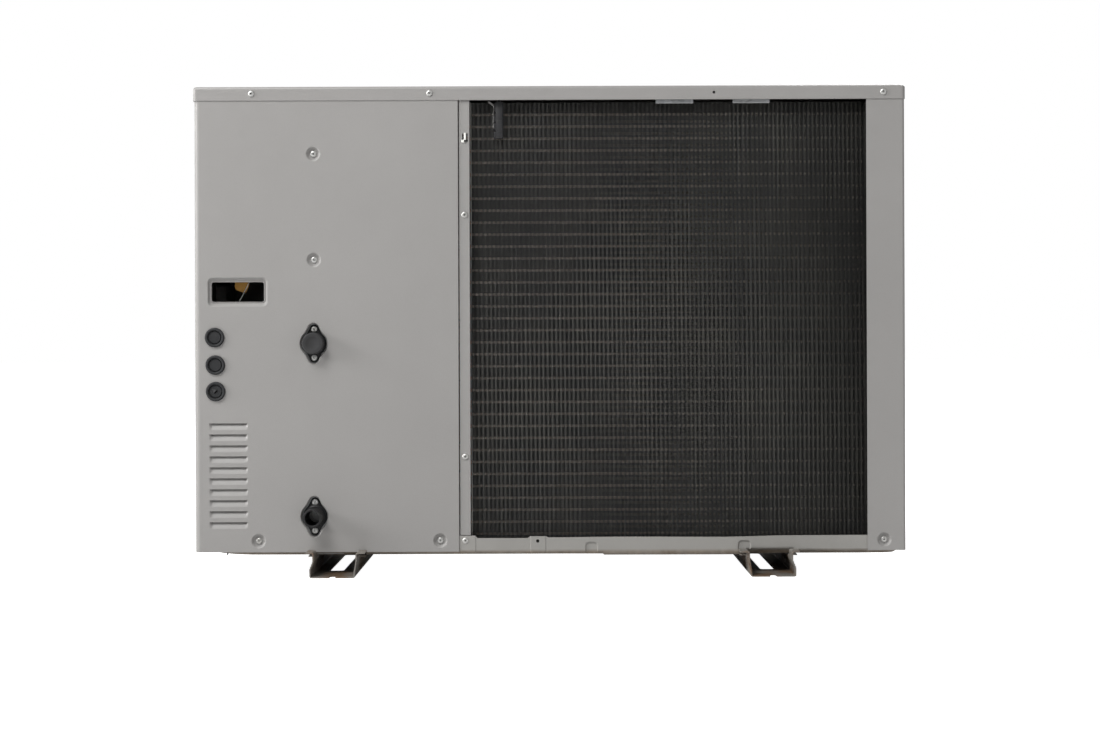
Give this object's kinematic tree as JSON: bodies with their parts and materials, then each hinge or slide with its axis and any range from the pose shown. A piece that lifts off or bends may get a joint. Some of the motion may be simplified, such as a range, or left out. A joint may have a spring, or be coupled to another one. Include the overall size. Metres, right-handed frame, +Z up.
{
  "type": "heat pump unit",
  "caption": "Outdoor air-to-water heat pump unit: flat grey sheet casing on two rails, exposed finned coil at the rear, water unions on the rear panel, fan behind a round grille at the front",
  "frame": {"origin": "on the ground under the middle of the unit, the centre of the bottom of its bounding box", "axes": "+Z up; +X along the width, to the right seen from the rear; -Y out of the rear, where the coil and the water unions are, +Y out of the fan side"},
  "size_m": [1.24, 0.46, 0.85],
  "materials": {
    "casing_paint": "fine satin powder coat, warm light grey",
    "pan_paint": "satin powder coat, grey, slightly dulled",
    "foot_steel": "dark grey-brown coated steel, semi-gloss",
    "galvanised_steel": "zinc-coated sheet with a faint spangle",
    "coil_fins": "thin coated fins, dark, with lighter tube edges",
    "copper": "drawn copper pipe, slightly dulled",
    "brass": "machined brass, dull",
    "black_plastic": "moulded, finely textured",
    "black_rubber": "moulded rubber, matte",
    "white_plastic": "moulded nylon, satin",
    "black_paint": "black enamel, semi-gloss",
    "board_green": "lacquered circuit board",
    "steel": "zinc-plated or stainless, bright"
  },
  "bodies": {
    "unit": {"base_pan": "pan_paint", "foot_rail_left": "foot_steel", "foot_rail_right": "foot_steel", "top_cover": "casing_paint", "rear_panel": "casing_paint", "right_side_panel": "casing_paint", "service_panel": "casing_paint", "front_panel": "casing_paint", "centre_post": "casing_paint", "partition": "galvanised_steel", "evaporator_coil": "coil_fins", "coil_end_plate": "galvanised_steel", "coil_header": "copper", "coil_hook_left": "galvanised_steel", "coil_hook_right": "galvanised_steel", "sensor_clip": "black_plastic", "sensor_lead": "black_rubber", "retainer_clip": "white_plastic", "fan_grille": "black_plastic", "fan_shroud": "black_plastic", "fan_motor": "galvanised_steel", "motor_bracket": "galvanised_steel", "water_outlet_union": "black_plastic", "water_inlet_union": "black_plastic", "union_bracket": "galvanised_steel", "compressor": "black_paint", "compressor_foot_1": "black_rubber", "compressor_foot_2": "black_rubber", "compressor_foot_3": "black_rubber", "cable_grommet_1": "black_rubber", "cable_grommet_2": "black_rubber", "cable_grommet_3": "black_rubber", "accumulator": "black_paint", "reversing_valve": "brass", "expansion_valve": "brass", "plate_heat_exchanger": "steel", "discharge_pipe": "copper", "suction_pipe": "copper", "liquid_pipe": "copper", "gas_pipe": "copper", "control_box": "galvanised_steel", "control_board": "board_green", "terminal_block": "black_plastic", "reactor": "black_paint", "cover_screw_1": "steel", "cover_screw_2": "steel", "cover_screw_3": "steel", "panel_screw_1": "steel", "panel_screw_2": "steel", "panel_screw_3": "steel", "panel_screw_4": "steel", "panel_screw_5": "steel", "union_screw_1": "steel", "union_screw_2": "steel", "union_screw_3": "steel", "union_screw_4": "steel"},
    "fan": {"fan_rotor": "black_plastic", "fan_nut": "black_plastic", "motor_shaft": "steel"},
    "cap": {"union_cap": "black_rubber"}
  },
  "joints": [
    {"name": "fan_spin", "type": "hinge", "parent": "unit", "child": "fan", "pos_m": [0.235, 0.142, 0.445], "axis": [0, 1, 0], "continuous": true},
    {"name": "cap_pull", "type": "slide", "parent": "unit", "child": "cap", "axis": [0, -1, 0], "range_m": [0, 0.045]}
  ]
}
